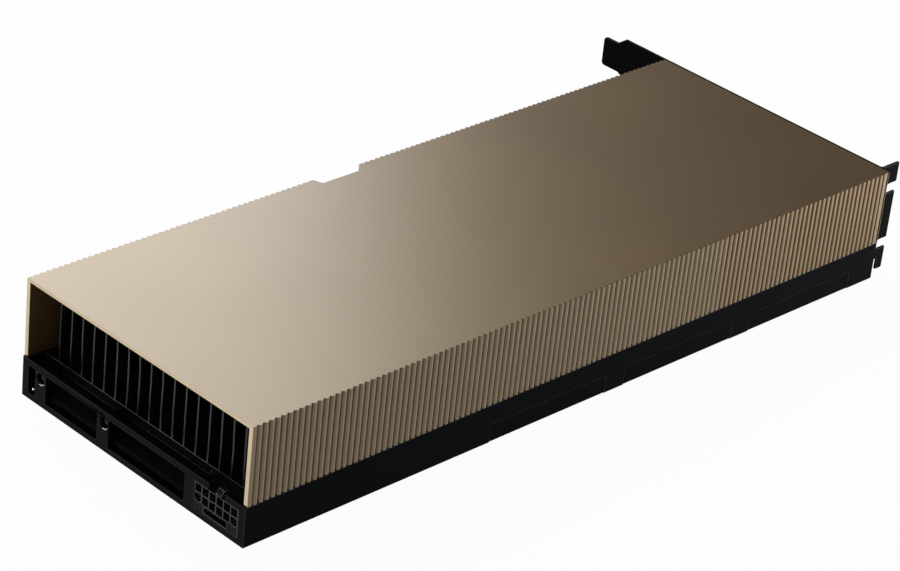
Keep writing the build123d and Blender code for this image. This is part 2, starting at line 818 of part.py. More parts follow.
# Caps over the bridge connectors: a front wall flush in its recess and two jaws round the board
with BuildPart() as bridge_caps:
    cap_front = near_y + bridge_cap_setback
    cap_low = bridge_cap_setback
    cap_high = bridge_height - assembly_gap
    cap_inner = cap_front + bridge_cap_wall
    cap_back = near_y + bridge_cap_depth
    with BuildSketch(Plane.YZ.offset(bridge_centres[0] - bridge_width / 2 + assembly_gap)) as cap_section:
        with BuildLine():
            Polyline(
                (cap_front, cap_low),
                (cap_inner, cap_low),
                (cap_inner, board_bottom - socket_gap - bridge_jaw),
                (cap_back, board_bottom - socket_gap - bridge_jaw),
                (cap_back, board_bottom - socket_gap),
                (cap_inner, board_bottom - socket_gap),
                (cap_inner, board_top + socket_gap),
                (cap_back, board_top + socket_gap),
                (cap_back, cap_high),
                (cap_front, cap_high),
                close=True,
            )
        make_face()
    extrude(amount=bridge_width - 2 * assembly_gap)
    first_cap = bridge_caps.part
    for i in range(1, bridge_count):
        add(first_cap.moved(Location((-i * bridge_pitch, 0, 0))))
bridge_caps.part.label = "bridge_caps"

# Retention plate in the back sheet's opening, its pad and its four screws
with BuildPart() as retention_plate:
    with BuildSketch(Plane.XY.offset(clamp_recess)):
        with Locations((package_x, package_y)):
            RectangleRounded(clamp_side, clamp_side, clamp_corner)
            with PolarLocations(clamp_window_offset, 4):
                Rectangle(clamp_window, clamp_window_length, mode=Mode.SUBTRACT)
    extrude(amount=clamp_thickness)
    with Locations(*[Plane(origin=(x, y, clamp_recess), z_dir=(0, 0, -1)) for x, y in clamp_points]):
        CounterBoreHole(
            clamp_screw_radius + screw_gap,
            clamp_head_radius + assembly_gap,
            clamp_head_height + screw_gap,
            clamp_thickness,
        )
retention_plate.part.label = "retention_plate"

with BuildPart() as retention_pad:
    with BuildSketch(Plane.XY.offset(clamp_recess + clamp_thickness)):
        with Locations((package_x, package_y)):
            Rectangle(clamp_pad_side, clamp_pad_side)
    extrude(amount=board_bottom - clamp_recess - clamp_thickness)
retention_pad.part.label = "retention_pad"

with BuildPart() as retention_screws:
    with BuildSketch(Plane.XY.offset(clamp_head_z)):
        with Locations(*clamp_points):
            Circle(clamp_head_radius)
    extrude(amount=clamp_head_height)
    with BuildSketch(Plane.XY.offset(clamp_head_z)):
        with Locations(*clamp_points):
            Circle(clamp_screw_radius)
    extrude(amount=clamp_screw_length)
retention_screws.part.label = "retention_screws"

# Flat-head screws
with BuildPart() as back_screws:
    flat_screws(
        [Plane(origin=(x, y, 0), z_dir=(0, 0, -1)) for x, y in back_screw_points],
        screw_head_radius,
        back_screw_length,
    )
back_screws.part.label = "back_screws"

with BuildPart() as side_screws:
    flat_screws(side_screw_planes, side_head_radius, side_screw_length)
side_screws.part.label = "side_screws"

with BuildPart() as bracket_screws:
    flat_screws(bracket_screw_planes, bracket_head_radius, bracket_screw_length)
bracket_screws.part.label = "bracket_screws"

# Bracket: plate and ear folded from one sheet, drawn in plan and trimmed to the plate's outline
with BuildPart() as bracket:
    plate_near = near_y + bracket_near
    plate_far = near_y + bracket_far
    shoulder = near_y + shoulder_y
    neck = near_y + tongue_neck_y
    plate_outer = bracket_x + bracket_sheet
    ear_tip = bracket_x + ear_reach
    with BuildSketch() as bracket_plan:
        with BuildLine():
            Polyline(
                (bracket_x, plate_near),
                (ear_tip, plate_near),
                (ear_tip, plate_near + bracket_sheet),
                (plate_outer, plate_near + bracket_sheet),
                (plate_outer, plate_far),
                (bracket_x, plate_far),
                close=True,
            )
        make_face()
        outer_bend = bracket_plan.vertices().sort_by_distance((bracket_x, plate_near))[0]
        fillet(outer_bend, bend_radius + bracket_sheet)
        inner_bend = bracket_plan.vertices().sort_by_distance((plate_outer, plate_near + bracket_sheet))[0]
        fillet(inner_bend, bend_radius)
    extrude(amount=bracket_height)
    with BuildSketch(Plane.YZ.offset(bracket_x)) as plate_outline:
        high_tongue = (tongue_centre_z - tongue_width / 2, tongue_centre_z + tongue_width / 2)
        low_tongue = (high_tongue[0] - slot_spacing, high_tongue[1] - slot_spacing)
        with BuildLine():
            Polyline(
                (plate_near, 0),
                (neck - low_tongue[0], 0),
                (neck, low_tongue[0]),
                (plate_far, low_tongue[0]),
                (plate_far, low_tongue[1]),
                (shoulder, low_tongue[1]),
                (shoulder, high_tongue[0]),
                (plate_far, high_tongue[0]),
                (plate_far, high_tongue[1]),
                (neck, high_tongue[1]),
                (shoulder, bracket_height),
                (plate_near, bracket_height),
                close=True,
            )
        make_face()
        tongue_roots = plate_outline.vertices().filter_by_position(Axis.X, shoulder, shoulder).sort_by(Axis.Y)[:2]
        fillet(tongue_roots, tongue_root_radius)
        fillet(plate_outline.vertices().group_by(Axis.X)[-1], tongue_corner)
    extrude(amount=ear_reach, mode=Mode.INTERSECT)
    with BuildSketch(Plane.YZ.offset(bracket_x)):
        vent_mid_y = near_y + vent_first_y + (vent_columns - 1) * vent_pitch_y / 2
        vent_mid_z = vent_low_z + (vent_rows - 1) * vent_pitch_z / 2
        with Locations((vent_mid_y, vent_mid_z)):
            with GridLocations(vent_pitch_y, vent_pitch_z, vent_columns, vent_rows):
                Rectangle(vent_width, vent_height)
    extrude(amount=bracket_sheet, mode=Mode.SUBTRACT)
    with BuildSketch(Plane.XZ.offset(-(plate_near + bracket_sheet))) as ear_cuts:
        for z in (ear_notch_z, ear_notch_z + slot_spacing):
            with Locations((ear_tip, z)):
                SlotOverall(2 * ear_notch_depth, ear_notch_width)
        relief_mid_x, relief_length = span(plate_outer + bend_radius, bracket_x + ear_relief_reach)
        with Locations((relief_mid_x, ear_relief_height / 2)):
            Rectangle(relief_length, ear_relief_height)
    extrude(amount=bracket_sheet, mode=Mode.SUBTRACT)
    ear_corners = bracket.edges().filter_by(Axis.Y).group_by(Axis.X)[-1].sort_by(Axis.Z)
    fillet([ear_corners[0], ear_corners[-1]], ear_corner)
    with Locations(*bracket_screw_planes):
        CounterSinkHole(
            screw_radius + screw_gap,
            bracket_head_radius + 2 * screw_gap,
            bracket_sheet,
            counter_sink_angle=90,
        )
bracket.part.label = "bracket"

os.makedirs("parts", exist_ok=True)
export_step(cover.part, "parts/cover.step")
export_step(base_frame.part, "parts/base_frame.step")
export_step(threaded_inserts.part, "parts/threaded_inserts.step")
export_step(back_sheet.part, "parts/back_sheet.step")
export_step(circuit_board.part, "parts/circuit_board.step")
export_step(edge_contacts.part, "parts/edge_contacts.step")
export_step(sink_plate.part, "parts/sink_plate.step")
export_step(board_standoffs.part, "parts/board_standoffs.step")
export_step(clamp_standoffs.part, "parts/clamp_standoffs.step")
export_step(fin_stack.part, "parts/fin_stack.step")
export_step(package_substrate.part, "parts/package_substrate.step")
export_step(package_ring.part, "parts/package_ring.step")
export_step(processor_die.part, "parts/processor_die.step")
export_step(memory_stacks.part, "parts/memory_stacks.step")
export_step(contact_block.part, "parts/contact_block.step")
export_step(power_stages.part, "parts/power_stages.step")
export_step(inductors.part, "parts/inductors.step")
export_step(power_pads.part, "parts/power_pads.step")
export_step(input_capacitors.part, "parts/input_capacitors.step")
export_step(input_chokes.part, "parts/input_chokes.step")
export_step(controller_chips.part, "parts/controller_chips.step")
export_step(power_header.part, "parts/power_header.step")
export_step(power_pins.part, "parts/power_pins.step")
export_step(sense_pins.part, "parts/sense_pins.step")
export_step(bridge_caps.part, "parts/bridge_caps.step")
export_step(retention_plate.part, "parts/retention_plate.step")
export_step(retention_pad.part, "parts/retention_pad.step")
export_step(retention_screws.part, "parts/retention_screws.step")
export_step(back_screws.part, "parts/back_screws.step")
export_step(side_screws.part, "parts/side_screws.step")
export_step(bracket_screws.part, "parts/bracket_screws.step")
export_step(bracket.part, "parts/bracket.step")
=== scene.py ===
import math

import bpy
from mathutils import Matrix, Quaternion, Vector


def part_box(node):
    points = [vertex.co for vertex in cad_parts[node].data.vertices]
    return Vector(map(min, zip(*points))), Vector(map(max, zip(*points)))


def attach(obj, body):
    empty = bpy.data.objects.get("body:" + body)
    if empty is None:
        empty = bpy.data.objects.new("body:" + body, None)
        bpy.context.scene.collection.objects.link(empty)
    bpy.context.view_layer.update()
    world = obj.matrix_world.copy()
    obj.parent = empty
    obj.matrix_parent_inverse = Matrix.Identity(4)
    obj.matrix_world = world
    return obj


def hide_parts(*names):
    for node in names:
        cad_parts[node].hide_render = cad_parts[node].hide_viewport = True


bl_info = {
    "name": "Passive Accelerator Card",
    "version": (1, 0, 0),
    "blender": (4, 5, 0),
    "location": "3D View > Sidebar > Card",
    "description": "Gives the packed passive accelerator card its fine shapes and finishes",
    "category": "Object",
}

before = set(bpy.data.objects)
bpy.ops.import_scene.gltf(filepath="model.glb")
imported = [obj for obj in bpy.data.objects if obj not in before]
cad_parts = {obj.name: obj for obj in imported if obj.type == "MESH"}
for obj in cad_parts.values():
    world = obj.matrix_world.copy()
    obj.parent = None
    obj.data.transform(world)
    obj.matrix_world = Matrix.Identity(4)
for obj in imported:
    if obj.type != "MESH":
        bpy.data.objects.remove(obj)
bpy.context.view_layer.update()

FINISH = {}

MM = 0.001
HAIR = 0.01 * MM  # places this near count as one place
WELD = 0.001 * MM  # points this near are merged

ONE_FACE = math.radians(0.5)  # faces that turn by less than this are one face
SMOOTH_TURN = math.radians(32)  # edges that turn by less than this look smooth
ALONG = 0.9  # a face looks along an axis when its normal has at least this share on it
UPRIGHT = 0.5  # a face stands upright when its normal has at most this share on the Z axis

# What Blender's noise keeps to, and what two noises keep to when they are multiplied.
NOISE = {"From Min": 0.3, "From Max": 0.7}
TWO_NOISES = {"From Min": 0.12, "From Max": 0.4}

# Sockets of the Mix node when it mixes colours.
MIX_SHARE, MIX_UNDER, MIX_OVER, MIX_RESULT = 0, 6, 7, 2

# Each soft lamp: its bearing and height in degrees, its distance, width and height in metres, the
# brightness of its face, where 1 is white, and its tone.
LAMPS = (
    ("back_softbox", 75.0, 30.0, 1.3, 1.2, 1.5, 3.4, (0.93, 1.01, 1.01)),
    ("tail_softbox", 190.0, 24.0, 1.3, 1.2, 0.8, 1.7, (1, 1, 1)),
    ("left_softbox", 128.0, 39.0, 1.3, 0.14, 0.14, 26.0, (1, 1, 1)),
    ("bracket_softbox", -46.0, 3.0, 0.36, 0.3, 0.06, 23.0, (1, 1, 1)),
)
ROOM_TONE = (1.0, 0.85, 0.63, 1)
ROOM_LEVEL = 0.2

FLOOR_SIDE = 14
FLOOR_DROP = 0.1 * MM
PAPER = (0.85, 0.85, 0.85, 1)
PAPER_SHOWN = 0.96  # how far the paper shows as plain white

CAMERA_PLACE = Vector((-0.6381, -0.59778, 0.4909))
CAMERA_AIM = Vector((-0.0155, -0.0136, 0.02))
CAMERA_ROLL = math.radians(6.24)
CAMERA_LENS = 129.47


def linear(code):
    """Linear red, green and blue of an sRGB hex colour."""
    shares = [int(code[i : i + 2], 16) / 255 for i in (1, 3, 5)]
    return tuple(s / 12.92 if s <= 0.04045 else ((s + 0.055) / 1.055) ** 2.4 for s in shares)


class CardSizes(bpy.types.PropertyGroup):
    """Sizes of the fine shapes."""

    rib_round: bpy.props.FloatProperty(
        name="Rib rounding",
        description="Share of a rib's crest and flank that its rounding takes at each corner",
        default=48.0, min=5.0, max=49.0, subtype="PERCENTAGE",
    )
    cover_edge: bpy.props.FloatProperty(
        name="Cover edge", description="Width of the broken edge round the cover's top and mouth",
        default=0.09 * MM, min=0.01 * MM, max=0.3 * MM, unit="LENGTH",
    )
    frame_edge: bpy.props.FloatProperty(
        name="Frame edge", description="Width of the broken edges of the base frame",
        default=0.16 * MM, min=0.01 * MM, max=0.4 * MM, unit="LENGTH",
    )
    sheet_edge: bpy.props.FloatProperty(
        name="Sheet edge", description="Width of the rolled edges of stamped sheet pieces",
        default=0.12 * MM, min=0.01 * MM, max=0.3 * MM, unit="LENGTH",
    )
    moulded_edge: bpy.props.FloatProperty(
        name="Moulded edge", description="Corner width on moulded pieces",
        default=0.1 * MM, min=0.01 * MM, max=0.3 * MM, unit="LENGTH",
    )
    fin_wave: bpy.props.FloatProperty(
        name="Fin wave", description="How far a fin's sheet wanders from flat",
        default=0.45 * MM, min=0.0, max=1.0 * MM, unit="LENGTH",
    )
    thread_pitch: bpy.props.FloatProperty(
        name="Thread pitch", description="Distance from one turn of a thread to the next",
        default=0.5 * MM, min=0.3 * MM, max=1.0 * MM, unit="LENGTH",
    )
    thread_depth: bpy.props.FloatProperty(
        name="Thread depth", description="How deep the threads of screws and inserts are cut",
        default=0.14 * MM, min=0.02 * MM, max=0.25 * MM, unit="LENGTH",
    )


class CardColours(bpy.types.PropertyGroup):
    """Colours of the finishes that show most."""

    gold: bpy.props.FloatVectorProperty(
        name="Cover", description="Dye of the anodised cover",
        default=linear("#664E31"), min=0.0, max=1.0, subtype="COLOR",
    )
    # Pale colour of the cover's rim: a painted highlight.
    rim: bpy.props.FloatVectorProperty(
        name="Cover rim", description="Cut edge round the cover's mouth",
        default=linear("#CDBA9A"), min=0.0, max=1.0, subtype="COLOR",
    )
    black: bpy.props.FloatVectorProperty(
        name="Frame", description="Black of the base frame",
        default=linear("#090A0C"), min=0.0, max=1.0, subtype="COLOR",
    )
    board: bpy.props.FloatVectorProperty(
        name="Board", description="Solder mask of the circuit board",
        default=linear("#101311"), min=0.0, max=1.0, subtype="COLOR",
    )


def add_node(tree, kind, inputs=None, **settings):
    """Adds a shader node, sets it, and fills or links its sockets."""
    made = tree.nodes.new(kind)
    for name, value in settings.items():
        setattr(made, name, value)
    for name, value in (inputs or {}).items():
        if isinstance(value, bpy.types.NodeSocket):
            tree.links.new(value, made.inputs[name])
        else:
            made.inputs[name].default_value = value
    return made


def per_mm(size):
    """Texture scale at which one pattern cell is size millimetres wide."""
    return 1 / (size * MM)


def shade(colour, level):
    """A colour made lighter or darker, as a socket's four numbers."""
    return (*[min(1.0, part * level) for part in colour], 1.0)


def surface(name, colour, roughness, grain, depth, cloud, tint, pull=(1, 1, 1), sockets=None):
    """A grained surface.

    Grain and cloud are widths and depth is the bump's height, in millimetres. Roughness goes from its
    first to its second number with the clouds, and the colour gets tint's share paler and darker.
    """
    material = bpy.data.materials.new(name)
    material.use_nodes = True
    tree = material.node_tree
    shader = tree.nodes["Principled BSDF"]
    place = add_node(tree, "ShaderNodeTexCoord").outputs["Object"]
    drawn = add_node(tree, "ShaderNodeMapping", {"Vector": place, "Scale": pull}).outputs[0]
    clouds = add_node(tree, "ShaderNodeTexNoise", {"Vector": place, "Scale": per_mm(cloud), "Detail": 3.0})
    grains = add_node(tree, "ShaderNodeTexNoise", {"Vector": drawn, "Scale": per_mm(grain), "Detail": 2.0})
    both = add_node(
        tree, "ShaderNodeMath", {0: clouds.outputs["Fac"], 1: grains.outputs["Fac"]}, operation="MULTIPLY"
    )
    spread = add_node(tree, "ShaderNodeMapRange", {"Value": both.outputs[0], **TWO_NOISES})
    shades = {MIX_UNDER: shade(colour, 1 - tint), MIX_OVER: shade(colour, 1 + tint)}
    paint = add_node(tree, "ShaderNodeMix", {MIX_SHARE: spread.outputs[0], **shades}, data_type="RGBA")
    rough = add_node(
        tree, "ShaderNodeMapRange",
        {"Value": clouds.outputs["Fac"], **NOISE, "To Min": roughness[0], "To Max": roughness[1]},
    )
    bump = add_node(
        tree, "ShaderNodeBump", {"Height": grains.outputs["Fac"], "Distance": depth * MM, "Strength": 1.0}
    )
    tree.links.new(paint.outputs[MIX_RESULT], shader.inputs["Base Color"])
    tree.links.new(rough.outputs[0], shader.inputs["Roughness"])
    tree.links.new(bump.outputs[0], shader.inputs["Normal"])
    for socket, value in (sockets or {}).items():
        shader.inputs[socket].default_value = value
    return material


def over(material, factor, colour):
    """Paints colour over a material's own colour where factor is 1."""
    tree = material.node_tree
    shader = tree.nodes["Principled BSDF"]
    under = shader.inputs["Base Color"].links[0].from_socket
    mix = add_node(
        tree, "ShaderNodeMix",
        {MIX_SHARE: factor, MIX_UNDER: under, MIX_OVER: shade(colour, 1)}, data_type="RGBA",
    )
    tree.links.new(mix.outputs[MIX_RESULT], shader.inputs["Base Color"])


def metal_finishes(colours):
    """The finishes whose light comes back from metal."""
    made = {}

    # Bead-blasted aluminium under a dyed oxide layer: satin and gold brown, and the clear oxide on
    # top sends back a pale sheen at low angles. The blasting is about 0.1 mm across and is drawn
    # at 0.35 mm so that it shows.
    made["gold_anodised"] = surface(
        "gold_anodised", colours.gold, (0.37, 0.42), 0.35, 0.004, 45.0, 0.04,
        sockets={"Metallic": 1.0, "Coat Weight": 1.0, "Coat Roughness": 0.28},
    )

    # The shot strikes the ribs at a slant and leaves them rougher and a little greyer.
    # The upright faces are rougher, and their gold is a little paler and greyer than the top's.
    made["rib_gold"] = surface(
        "rib_gold", [level * part for level, part in zip((1.02, 1.3, 1.75), colours.gold)],
        (0.5, 0.56), 0.35, 0.005, 30.0, 0.06,
        sockets={"Metallic": 1.0, "Coat Weight": 0.6, "Coat Roughness": 0.38},
    )

    # The duct's inside is made less metallic and less glossy than the faces outside so that it reads
    # darker: painted shade inside the duct.
    made["duct_painted_shade"] = surface(
        "duct_painted_shade", colours.gold, (0.45, 0.6), 0.8, 0.004, 20.0, 0.1, pull=(0.05, 1, 1),
        sockets={"Metallic": 0.75, "Specular IOR Level": 0.2},
    )

    # The grooves' floors and inner flanks are painted darker and browner than the gold: painted shade in
    # the grooves.
    made["groove_painted_shade"] = surface(
        "groove_painted_shade", [0.42 * part for part in colours.gold], (0.5, 0.6), 0.35, 0.004, 20.0, 0.1,
        sockets={"Metallic": 1.0},
    )

    # The rim's pale colour is a painted highlight on the mouth's cut edge, and the rim is smoother than the
    # faces round it.
    made["rim_painted_highlight"] = surface(
        "rim_painted_highlight", colours.rim, (0.26, 0.34), 0.4, 0.002, 12.0, 0.06, pull=(1, 0.1, 0.1),
        sockets={"Metallic": 1.0},
    )

    # Black oxide on rolled aluminium fins: dull, streaked a little along the rolling.
    made["fin_oxide"] = surface(
        "fin_oxide", linear("#0C0C0D"), (0.42, 0.58), 0.7, 0.006, 14.0, 0.25, pull=(0.06, 1, 1),
        sockets={"Metallic": 0.15, "Specular IOR Level": 0.04},
    )

    # The sink slab's broken edges are painted pale grey: a painted highlight, as thin pale lines along its
    # edges.
    made["slab_edge_painted_highlight"] = surface(
        "slab_edge_painted_highlight", linear("#77797A"), (0.45, 0.55), 0.3, 0.003, 6.0, 0.25, sockets={"Metallic": 0.9}
    )

    # The fins' sheared ends are bare metal with a thin oxide: mid grey lines.
    made["fin_shear"] = surface(
        "fin_shear", linear("#3E3F41"), (0.35, 0.5), 0.3, 0.004, 5.0, 0.3, sockets={"Metallic": 1.0}
    )

    # Nickel plate: bright and slightly warm.
    made["nickel"] = surface(
        "nickel", linear("#C9C5BB"), (0.16, 0.26), 0.6, 0.002, 4.0, 0.08, sockets={"Metallic": 1.0}
    )

    # Black zinc on the screws and in the inserts' mouths: dark metal that still glints on its edges.
    made["black_zinc"] = surface(
        "black_zinc", linear("#2B2B2D"), (0.3, 0.42), 0.3, 0.003, 2.0, 0.2, sockets={"Metallic": 0.9}
    )

    # Spring steel: grey, rolled, with a fine haze along the rolling.
    made["spring_steel"] = surface(
        "spring_steel", linear("#8F8F8C"), (0.3, 0.4), 0.5, 0.003, 15.0, 0.1, pull=(0.05, 1, 1),
        sockets={"Metallic": 1.0},
    )

    # Hard gold plate on the contacts, with the fine lines that insertion leaves.
    made["gold_plate"] = surface(
        "gold_plate", linear("#D9A94E"), (0.16, 0.28), 0.2, 0.002, 3.0, 0.08, pull=(1, 0.08, 1),
        sockets={"Metallic": 1.0},
    )

    # Tin plate on the pins: pale and soft, with a milky bloom.
    made["tin"] = surface(
        "tin", linear("#C4C2BC"), (0.2, 0.32), 0.3, 0.002, 2.0, 0.08, sockets={"Metallic": 1.0}
    )

    # Bare silicon: dark, smooth, bluish grey.
    made["silicon"] = surface(
        "silicon", linear("#3B404A"), (0.08, 0.14), 1.5, 0.001, 12.0, 0.06, sockets={"Metallic": 0.6}
    )
    return made


def black_finishes(colours):
    """Anodising, coats, mouldings and the board."""
    made = {}

    # Black anodised aluminium of the frame and the sink slab: deep, matt and a little blue.
    made["black_anodised"] = surface(
        "black_anodised", colours.black, (0.5, 0.62), 0.4, 0.004, 25.0, 0.14,
        sockets={"Specular IOR Level": 0.01},
    )

    # The tail plate is painted 2.4 times paler than the long sides: painted light on the tail face.
    made["tail_face_painted_light"] = surface(
        "tail_face_painted_light", [2.4 * part for part in colours.black], (0.55, 0.65), 0.35, 0.006, 25.0, 0.12,
        sockets={"Specular IOR Level": 0.03},
    )

    # The lower lip of each of the two round holes is painted near white: a painted glint inside the holes.
    made["hole_lip_painted_glint"] = surface(
        "hole_lip_painted_glint", linear("#F0F0EE"), (0.55, 0.7), 0.3, 0.004, 3.0, 0.06, sockets={"Metallic": 0.1}
    )

    # Handling rubs the broken edges of the black anodising to a thin grey haze.
    made["rubbed_black"] = surface(
        "rubbed_black", linear("#16181A"), (0.36, 0.5), 0.5, 0.004, 3.0, 0.3,
        sockets={"Specular IOR Level": 0.15},
    )

    # Black powder coat on steel sheet: soft orange peel, about 0.8 mm from bump to bump.
    made["powder_coat"] = surface(
        "powder_coat", linear("#060607"), (0.45, 0.58), 0.8, 0.012, 30.0, 0.14,
        sockets={"Specular IOR Level": 0.015},
    )

    # The coat wears thin on rolled edges and lets a dull grey through.
    made["worn_coat"] = surface(
        "worn_coat", linear("#17181A"), (0.36, 0.5), 0.5, 0.006, 2.5, 0.35,
        sockets={"Specular IOR Level": 0.2},
    )

    # Solder mask over copper: glossy, with the copper runs showing as a slightly lighter raised web.
    made["solder_mask"] = surface(
        "solder_mask", colours.board, (0.24, 0.34), 0.6, 0.004, 18.0, 0.1,
        sockets={"Coat Weight": 0.3, "Coat Roughness": 0.14},
    )
    tree = made["solder_mask"].node_tree
    place = add_node(tree, "ShaderNodeTexCoord").outputs["Object"]
    runs = add_node(
        tree, "ShaderNodeTexBrick",
        {"Vector": place, "Scale": per_mm(6.0), "Mortar Size": 0.012,
         "Brick Width": 0.62, "Row Height": 0.085},
    )
    over(made["solder_mask"], runs.outputs["Fac"], [part * 1.8 for part in colours.board])

    # Sawn glass laminate at the board's edges: dull, dark olive, with short pale fibres.
    made["board_edge"] = surface(
        "board_edge", linear("#0A0B09"), (0.6, 0.75), 0.2, 0.01, 4.0, 0.35, pull=(0.2, 0.2, 1),
        sockets={"Specular IOR Level": 0.05},
    )

    # Glass-filled nylon: near black, with a dull moulded skin.
    made["nylon"] = surface(
        "nylon", linear("#101214"), (0.45, 0.58), 0.5, 0.006, 6.0, 0.18,
        sockets={"Specular IOR Level": 0.06},
    )

    # Its edges come out of the mould glossier, and are painted much paler than the nylon as a painted
    # highlight, in thin light lines.
    made["header_edge_painted_highlight"] = surface(
        "header_edge_painted_highlight", linear("#54585C"), (0.25, 0.35), 0.5, 0.003, 4.0, 0.15,
        sockets={"Specular IOR Level": 0.5},
    )

    # Soft moulded caps: flat black with almost no shine.
    made["soft_cap"] = surface(
        "soft_cap", linear("#0A0B0D"), (0.6, 0.75), 0.6, 0.008, 12.0, 0.15,
        sockets={"Specular IOR Level": 0.01},
    )

    # Moulded epoxy of chips and capacitors.
    made["epoxy"] = surface(
        "epoxy", linear("#1B1B1D"), (0.45, 0.6), 0.25, 0.005, 8.0, 0.14,
        sockets={"Specular IOR Level": 0.3},
    )

    # Pressed metal powder of the inductors and chokes: grey and slightly rough.
    made["pressed_powder"] = surface(
        "pressed_powder", linear("#54545A"), (0.55, 0.7), 0.3, 0.012, 5.0, 0.16,
        sockets={"Specular IOR Level": 0.3},
    )

    # Green package laminate under a thin mask.
    made["laminate"] = surface("laminate", linear("#1C5133"), (0.3, 0.42), 0.5, 0.004, 10.0, 0.08)

    # Silicone heat pads: matt, pale blue grey.
    made["heat_pad"] = surface(
        "heat_pad", linear("#8D93A0"), (0.7, 0.85), 0.7, 0.02, 9.0, 0.08,
        sockets={"Specular IOR Level": 0.2},
    )
    return made


def finish(name):
    """A mixed finish by name."""
    if name not in FINISH:
        raise RuntimeError("The finish " + name + " isn't mixed yet")
    return FINISH[name]


def deselect():
    """Object mode with nothing selected."""
    if bpy.context.mode != "OBJECT":
        bpy.ops.object.mode_set(mode="OBJECT")
    bpy.ops.object.select_all(action="DESELECT")


def work_on(piece):
    """Makes piece the only one selected, and the active one."""
    deselect()
    piece.select_set(True)
    bpy.context.view_layer.objects.active = piece
    return piece


def pick(piece, kind, test):
    """Opens piece in edit mode with only the points, edges or faces selected that pass test."""
    work_on(piece)
    bpy.ops.object.mode_set(mode="EDIT")
    bpy.ops.mesh.select_mode(type=kind)
    bpy.ops.mesh.select_all(action="DESELECT")
    bpy.ops.object.mode_set(mode="OBJECT")
    points = piece.data.vertices
    if kind == "FACE":
        for face in piece.data.polygons:
            face.select = test(face.center, face.normal)
    elif kind == "EDGE":
        for edge in piece.data.edges:
            edge.select = test(*[points[i].co for i in edge.vertices])
    else:
        for point in points:
            point.select = test(point.co)
    bpy.ops.object.mode_set(mode="EDIT")


def cad_copy(node, name, whole=True):
    """A new piece with a CAD node's shape, its triangles merged and, if whole, made into whole faces."""
    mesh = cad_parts[node].data.copy()
    mesh.materials.clear()
    piece = bpy.data.objects.new(name, mesh)
    bpy.context.scene.collection.objects.link(piece)
    work_on(piece)
    bpy.ops.mesh.customdata_custom_splitnormals_clear()
    bpy.ops.object.mode_set(mode="EDIT")
    bpy.ops.mesh.select_all(action="SELECT")
    bpy.ops.mesh.remove_doubles(threshold=WELD)
    if whole:
        bpy.ops.mesh.dissolve_limited(angle_limit=ONE_FACE)
    bpy.ops.object.mode_set(mode="OBJECT")
    return piece


def modify(piece, kind, **settings):
    """Adds a modifier to piece and applies it."""
    work_on(piece)
    modifier = piece.modifiers.new(kind.lower(), kind)
    for name, value in settings.items():
        setattr(modifier, name, value)
    bpy.ops.object.modifier_apply(modifier=modifier.name)
    return piece


def coat(piece, name, test=None):
    """Gives piece a finish, all over or on the faces that pass test."""
    piece.data.materials.append(finish(name))
    index = len(piece.data.materials) - 1
    for face in piece.data.polygons:
        if test is None or test(face.center, face.normal):
            face.material_index = index
    return piece


def break_edges(piece, width, turn=40.0, worn=None):
    """Rounds the edges of piece that turn by more than turn degrees, in a worn finish if one is named."""
    index = -1
    if worn:
        piece.data.materials.append(finish(worn))
        index = len(piece.data.materials) - 1
    return modify(
        piece, "BEVEL", width=width, segments=2, limit_method="ANGLE", angle_limit=math.radians(turn),
        use_clamp_overlap=False, miter_outer="MITER_ARC", material=index,
    )


def seat(piece, slot, *nodes):
    """Shades piece, lets it ride with the card, and hides the CAD nodes it stands for."""
    work_on(piece)
    bpy.ops.object.shade_smooth_by_angle(angle=SMOOTH_TURN)
    modify(piece, "WEIGHTED_NORMAL", mode="FACE_AREA", keep_sharp=True)
    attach(piece, "root")
    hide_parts(*nodes)
    return piece


def fine_copy(node, name, slot, main, width, worn=None, whole=True):
    """A CAD node's shape with its edges broken, standing in for the node."""
    piece = coat(cad_copy(node, name, whole), main)
    break_edges(piece, width, worn=worn)
    return seat(piece, slot, node)


def dress(node, name):
    """Gives a CAD node that stays in view its finish."""
    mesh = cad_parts[node].data
    mesh.materials.clear()
    mesh.materials.append(finish(name))


def join(pieces, name):
    """One piece from several."""
    work_on(pieces[0])
    for piece in pieces[1:]:
        piece.select_set(True)
    if len(pieces) > 1:
        bpy.ops.object.join()
    pieces[0].name = name
    return pieces[0]


def solids(node):
    """Lowest and highest corner of each separate solid in a CAD node."""
    cad_copy(node, "solids_of_" + node)
    bpy.ops.mesh.separate(type="LOOSE")
    parts = list(bpy.context.selected_objects)
    corners = []
    for part in parts:
        points = [vertex.co for vertex in part.data.vertices]
        low = Vector([min(point[i] for point in points) for i in range(3)])
        high = Vector([max(point[i] for point in points) for i in range(3)])
        corners.append((low, high))
    for part in parts:
        bpy.data.objects.remove(part)
    return sorted(corners, key=lambda pair: tuple(pair[0]))


def turned(name, profile, sides):
    """A piece turned on the Z axis: a ring drawn out along profile's points, each (radius, height)."""
    deselect()
    radius, height = profile[0]
    bpy.ops.mesh.primitive_circle_add(vertices=sides, radius=radius, location=(0, 0, height))
    piece = bpy.context.object
    piece.name = name
    bpy.ops.object.transform_apply(location=True, rotation=True, scale=True)
    bpy.ops.object.mode_set(mode="EDIT")
    bpy.ops.mesh.select_mode(type="EDGE")
    bpy.ops.mesh.select_all(action="SELECT")
    for wide, high in profile[1:]:
        bpy.ops.mesh.extrude_region_move(TRANSFORM_OT_translate={"value": (0, 0, high - height)})
        bpy.ops.transform.resize(value=(wide / radius, wide / radius, 1), center_override=(0, 0, high))
        radius, height = wide, high
    bpy.ops.mesh.select_all(action="SELECT")
    bpy.ops.mesh.remove_doubles(threshold=WELD)
    bpy.ops.mesh.fill_holes(sides=0)
    bpy.ops.mesh.select_all(action="SELECT")
    bpy.ops.mesh.normals_make_consistent(inside=False)
    bpy.ops.object.mode_set(mode="OBJECT")
    return piece


